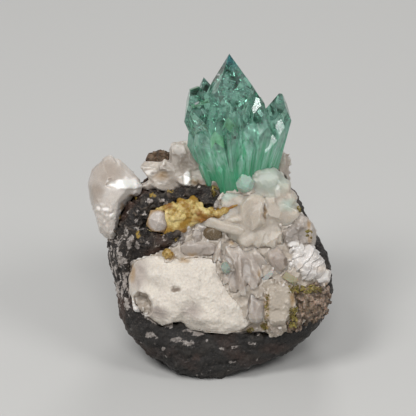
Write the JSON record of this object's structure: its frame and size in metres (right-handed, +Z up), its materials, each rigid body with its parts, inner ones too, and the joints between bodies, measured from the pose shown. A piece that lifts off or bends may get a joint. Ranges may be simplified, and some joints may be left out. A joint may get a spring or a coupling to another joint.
{
  "type": "green apophyllite specimen",
  "caption": "Hand specimen that stands by itself: a fan of green glassy pointed crystals on white and honey-coloured crystal masses, in the open cavity of a dark rounded rock.",
  "frame": {"origin": "on the flat underside, below the middle of the cavity's open face", "axes": "+Z up, away from the flat underside; +X to the viewer's right; the cavity's open face looks towards -Y and up"},
  "size_m": [0.067, 0.0511, 0.0822],
  "materials": {
    "basalt_matrix": "rough dark basalt with small filled gas bubbles",
    "apophyllite_spray": "clear to milky green crystal with a glassy lustre",
    "apophyllite_bud": "pale green, milky crystal",
    "apophyllite_chip": "pale blue-green crystal",
    "stilbite_mound": "creamy, porous and felted",
    "stilbite_fan": "smooth cream to pale grey-green crystal, slightly translucent",
    "stilbite_wedge": "grey-white streaked crystal",
    "stilbite_knot": "small white crystals with glassy edges",
    "stilbite_band": "smooth grey-white blade",
    "stilbite_grey_dome": "clear grey-brown crystal",
    "stilbite_sheaf": "smooth radiating grey-white blades",
    "stilbite_pebble": "smooth lilac-grey crystal",
    "stilbite_needle": "clear blue-grey prism",
    "heulandite_pearly": "bright pearly lustre with slanting ribs",
    "heulandite_plate": "white pearly plate with an orange lower rim",
    "stilbite_block": "cream, finely grained crystal block",
    "stilbite_round": "translucent white crystal",
    "olive_druse": "fine brown and olive crystals",
    "olive_prism": "greenish crystal",
    "honey_crust": "honey-yellow to orange-brown botryoidal crust",
    "crust_crystal": "white six-sided crystal with a yellow rim",
    "honey_drop": "honey-yellow crystal grains",
    "stilbite_left_lobe": "cream dome with pearly faces and a grainy lower part",
    "stilbite_back_ridge": "white crystals with bright faces",
    "brown_knob": "brown and granular",
    "stilbite_back_right": "white to brown crystal mass"
  },
  "bodies": {
    "root": {"basalt_matrix": "basalt_matrix", "apophyllite_spray": "apophyllite_spray", "apophyllite_bud": "apophyllite_bud", "apophyllite_chip": "apophyllite_chip", "stilbite_mound": "stilbite_mound", "stilbite_fan": "stilbite_fan", "stilbite_wedge": "stilbite_wedge", "stilbite_knot": "stilbite_knot", "stilbite_band": "stilbite_band", "stilbite_grey_dome": "stilbite_grey_dome", "stilbite_sheaf": "stilbite_sheaf", "stilbite_pebble": "stilbite_pebble", "stilbite_needle": "stilbite_needle", "heulandite_pearly": "heulandite_pearly", "heulandite_plate": "heulandite_plate", "stilbite_block": "stilbite_block", "stilbite_round": "stilbite_round", "olive_druse": "olive_druse", "olive_prism": "olive_prism", "honey_crust": "honey_crust", "crust_crystal": "crust_crystal", "honey_drop": "honey_drop", "stilbite_left_lobe": "stilbite_left_lobe", "stilbite_back_ridge": "stilbite_back_ridge", "brown_knob": "brown_knob", "stilbite_back_right": "stilbite_back_right"}
  },
  "joints": []
}
